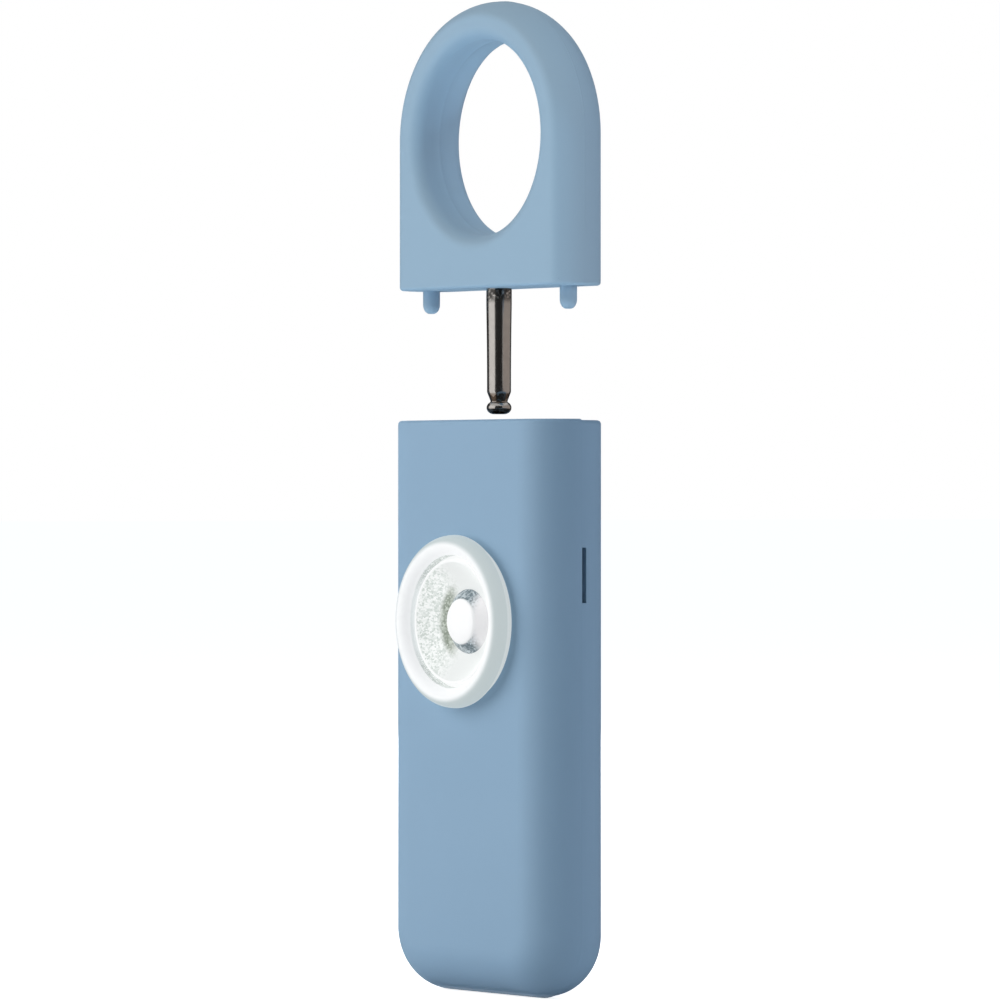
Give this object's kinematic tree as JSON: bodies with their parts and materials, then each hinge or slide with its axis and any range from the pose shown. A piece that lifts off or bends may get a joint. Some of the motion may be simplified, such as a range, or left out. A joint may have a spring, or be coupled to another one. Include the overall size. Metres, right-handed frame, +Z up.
{
  "type": "personal safety alarm",
  "caption": "Slim rounded pocket alarm with a round strobe light on its front and a ring handle whose metal pin pulls out of the top to start the siren.",
  "frame": {"origin": "under the middle of the part: centre of its bounding box in X and Y, at the case's lowest point in Z", "axes": "+Z up from the case to the ring handle, -Y out of the front face with the light, +X to the right as the light is faced"},
  "size_m": [0.028, 0.0118, 0.1017],
  "materials": {
    "case_blue": "fine matte moulded blue plastic",
    "handle_blue": "soft matte moulded light blue plastic",
    "pin_metal": "polished dark nickel",
    "milky_ring": "milky translucent light ring",
    "reflector_silver": "sparkling stippled reflector",
    "clear_lens": "clear moulded lens",
    "lamp_white": "white lamp chip",
    "board_green": "green solder mask",
    "chip_black": "moulded black package",
    "coil_copper": "wound enamelled wire",
    "ceramic_cream": "fired ceramic",
    "steel_bright": "bright plated steel",
    "brass_sheet": "rolled brass",
    "tray_grey": "grey moulded plastic",
    "plunger_white": "white moulded plastic"
  },
  "bodies": {
    "case": {"front_shell": "case_blue", "rear_shell": "case_blue", "light_ring": "milky_ring", "reflector": "reflector_silver", "strobe_lens": "clear_lens", "strobe_led": "lamp_white", "circuit_board": "board_green", "board_screws": "steel_bright", "driver_chip": "chip_black", "boost_coil": "coil_copper", "board_resistors": "chip_black", "board_capacitors": "ceramic_cream", "piezo_plate": "brass_sheet", "piezo_ceramic": "ceramic_cream", "siren_contacts": "brass_sheet", "battery_tray": "tray_grey", "coin_cell_front": "steel_bright", "coin_cell_rear": "steel_bright", "negative_contact": "brass_sheet", "positive_contact": "brass_sheet", "pin_switch": "chip_black", "switch_spring": "steel_bright", "pin_guide": "brass_sheet", "pin_clip": "steel_bright"},
    "handle": {"handle_front": "handle_blue", "handle_rear": "handle_blue", "pull_pin": "pin_metal"},
    "plunger": {"switch_plunger": "plunger_white"}
  },
  "joints": [
    {"name": "pin_pull", "type": "slide", "parent": "case", "child": "handle", "axis": [0, 0, 1], "range_m": [-0.0135, 0]},
    {"name": "plunger_press", "type": "slide", "parent": "case", "child": "plunger", "axis": [0, 0, 1], "range_m": [-0.0011, 0], "deforming": ["switch_spring"]}
  ],
  "couplings": [
    {"joint": "plunger_press", "follows": "pin_pull", "ratio": 0.0814}
  ]
}
